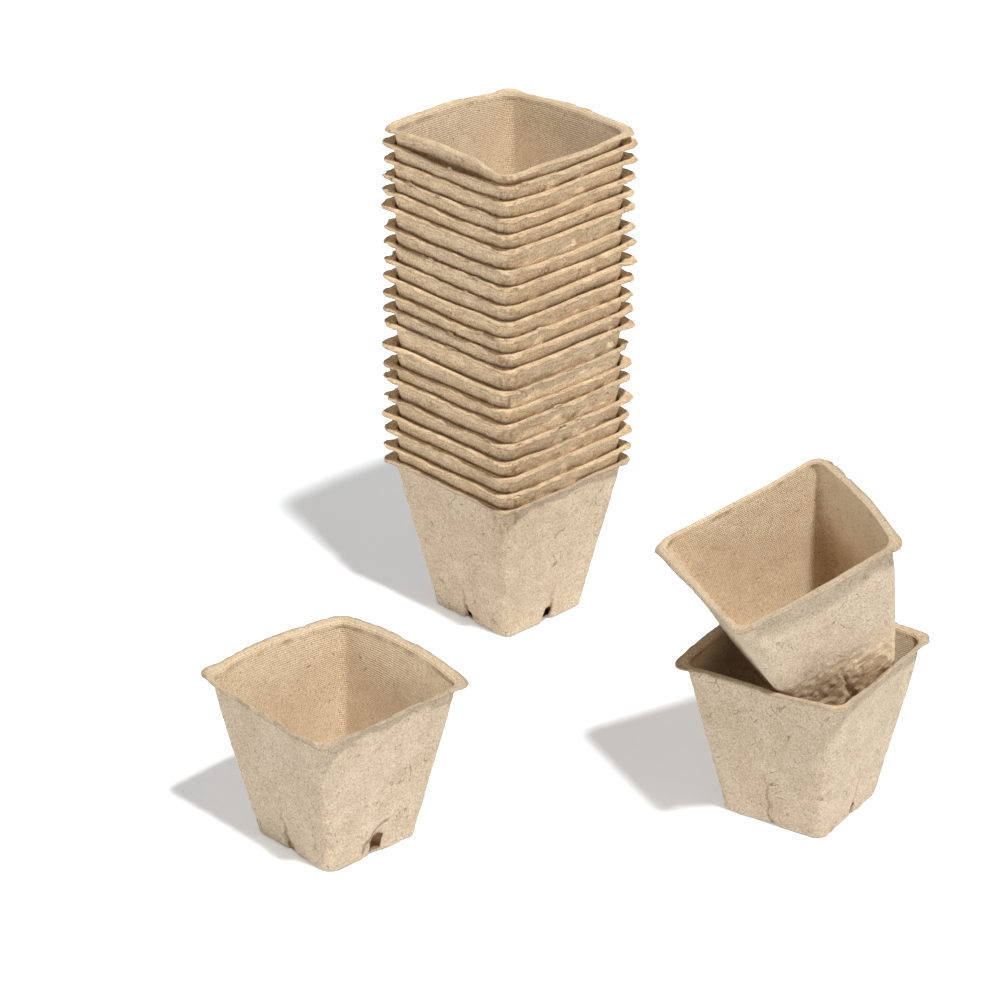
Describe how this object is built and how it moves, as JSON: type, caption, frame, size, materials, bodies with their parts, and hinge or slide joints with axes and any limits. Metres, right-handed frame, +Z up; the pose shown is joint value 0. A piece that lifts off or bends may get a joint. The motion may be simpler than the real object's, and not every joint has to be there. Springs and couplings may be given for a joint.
{
  "type": "peat pot set",
  "caption": "Set of square tapered moulded-pulp peat pots with flat rims and pleated, slotted feet: a nested stack, a pot by itself, and a pot leaning inside another.",
  "frame": {"origin": "centre of the bottom stack pot's foot, on the ground", "axes": "+Z up, X and Y along the sides of the stack; the other pots stand towards -X and -Y"},
  "size_m": [0.267, 0.2935, 0.2266],
  "materials": {
    "moulded_pulp": "matte"
  },
  "bodies": {
    "stack_pot_01": {"stack_pot_01": "moulded_pulp"},
    "stack_pot_02": {"stack_pot_02": "moulded_pulp"},
    "stack_pot_03": {"stack_pot_03": "moulded_pulp"},
    "stack_pot_04": {"stack_pot_04": "moulded_pulp"},
    "stack_pot_05": {"stack_pot_05": "moulded_pulp"},
    "stack_pot_06": {"stack_pot_06": "moulded_pulp"},
    "stack_pot_07": {"stack_pot_07": "moulded_pulp"},
    "stack_pot_08": {"stack_pot_08": "moulded_pulp"},
    "stack_pot_09": {"stack_pot_09": "moulded_pulp"},
    "stack_pot_10": {"stack_pot_10": "moulded_pulp"},
    "stack_pot_11": {"stack_pot_11": "moulded_pulp"},
    "stack_pot_12": {"stack_pot_12": "moulded_pulp"},
    "stack_pot_13": {"stack_pot_13": "moulded_pulp"},
    "stack_pot_14": {"stack_pot_14": "moulded_pulp"},
    "stack_pot_15": {"stack_pot_15": "moulded_pulp"},
    "stack_pot_16": {"stack_pot_16": "moulded_pulp"},
    "stack_pot_17": {"stack_pot_17": "moulded_pulp"},
    "stack_pot_18": {"stack_pot_18": "moulded_pulp"},
    "stack_pot_19": {"stack_pot_19": "moulded_pulp"},
    "stack_pot_20": {"stack_pot_20": "moulded_pulp"},
    "stack_pot_21": {"stack_pot_21": "moulded_pulp"},
    "single_pot": {"single_pot": "moulded_pulp"},
    "pair_lower_pot": {"pair_lower_pot": "moulded_pulp"},
    "leaning_pot": {"leaning_pot": "moulded_pulp"}
  },
  "joints": [
    {"name": "lift_stack_pot_02", "type": "slide", "parent": "stack_pot_01", "child": "stack_pot_02", "axis": [0, 0, 1], "range_m": [0, 0.075]},
    {"name": "lift_stack_pot_03", "type": "slide", "parent": "stack_pot_02", "child": "stack_pot_03", "axis": [0, 0, 1], "range_m": [0, 0.075]},
    {"name": "lift_stack_pot_04", "type": "slide", "parent": "stack_pot_03", "child": "stack_pot_04", "axis": [0, 0, 1], "range_m": [0, 0.075]},
    {"name": "lift_stack_pot_05", "type": "slide", "parent": "stack_pot_04", "child": "stack_pot_05", "axis": [0, 0, 1], "range_m": [0, 0.075]},
    {"name": "lift_stack_pot_06", "type": "slide", "parent": "stack_pot_05", "child": "stack_pot_06", "axis": [0, 0, 1], "range_m": [0, 0.075]},
    {"name": "lift_stack_pot_07", "type": "slide", "parent": "stack_pot_06", "child": "stack_pot_07", "axis": [0, 0, 1], "range_m": [0, 0.075]},
    {"name": "lift_stack_pot_08", "type": "slide", "parent": "stack_pot_07", "child": "stack_pot_08", "axis": [0, 0, 1], "range_m": [0, 0.075]},
    {"name": "lift_stack_pot_09", "type": "slide", "parent": "stack_pot_08", "child": "stack_pot_09", "axis": [0, 0, 1], "range_m": [0, 0.075]},
    {"name": "lift_stack_pot_10", "type": "slide", "parent": "stack_pot_09", "child": "stack_pot_10", "axis": [0, 0, 1], "range_m": [0, 0.075]},
    {"name": "lift_stack_pot_11", "type": "slide", "parent": "stack_pot_10", "child": "stack_pot_11", "axis": [0, 0, 1], "range_m": [0, 0.075]},
    {"name": "lift_stack_pot_12", "type": "slide", "parent": "stack_pot_11", "child": "stack_pot_12", "axis": [0, 0, 1], "range_m": [0, 0.075]},
    {"name": "lift_stack_pot_13", "type": "slide", "parent": "stack_pot_12", "child": "stack_pot_13", "axis": [0, 0, 1], "range_m": [0, 0.075]},
    {"name": "lift_stack_pot_14", "type": "slide", "parent": "stack_pot_13", "child": "stack_pot_14", "axis": [0, 0, 1], "range_m": [0, 0.075]},
    {"name": "lift_stack_pot_15", "type": "slide", "parent": "stack_pot_14", "child": "stack_pot_15", "axis": [0, 0, 1], "range_m": [0, 0.075]},
    {"name": "lift_stack_pot_16", "type": "slide", "parent": "stack_pot_15", "child": "stack_pot_16", "axis": [0, 0, 1], "range_m": [0, 0.075]},
    {"name": "lift_stack_pot_17", "type": "slide", "parent": "stack_pot_16", "child": "stack_pot_17", "axis": [0, 0, 1], "range_m": [0, 0.075]},
    {"name": "lift_stack_pot_18", "type": "slide", "parent": "stack_pot_17", "child": "stack_pot_18", "axis": [0, 0, 1], "range_m": [0, 0.075]},
    {"name": "lift_stack_pot_19", "type": "slide", "parent": "stack_pot_18", "child": "stack_pot_19", "axis": [0, 0, 1], "range_m": [0, 0.075]},
    {"name": "lift_stack_pot_20", "type": "slide", "parent": "stack_pot_19", "child": "stack_pot_20", "axis": [0, 0, 1], "range_m": [0, 0.075]},
    {"name": "lift_stack_pot_21", "type": "slide", "parent": "stack_pot_20", "child": "stack_pot_21", "axis": [0, 0, 1], "range_m": [0, 0.075]},
    {"name": "lift_single_pot", "type": "slide", "parent": "stack_pot_01", "child": "single_pot", "axis": [0, 0, 1], "range_m": [0, 0.075]},
    {"name": "lift_pair_lower_pot", "type": "slide", "parent": "stack_pot_01", "child": "pair_lower_pot", "axis": [0, 0, 1], "range_m": [0, 0.075]},
    {"name": "lift_leaning_pot", "type": "slide", "parent": "pair_lower_pot", "child": "leaning_pot", "axis": [0, 0, 1], "range_m": [0, 0.075]}
  ]
}
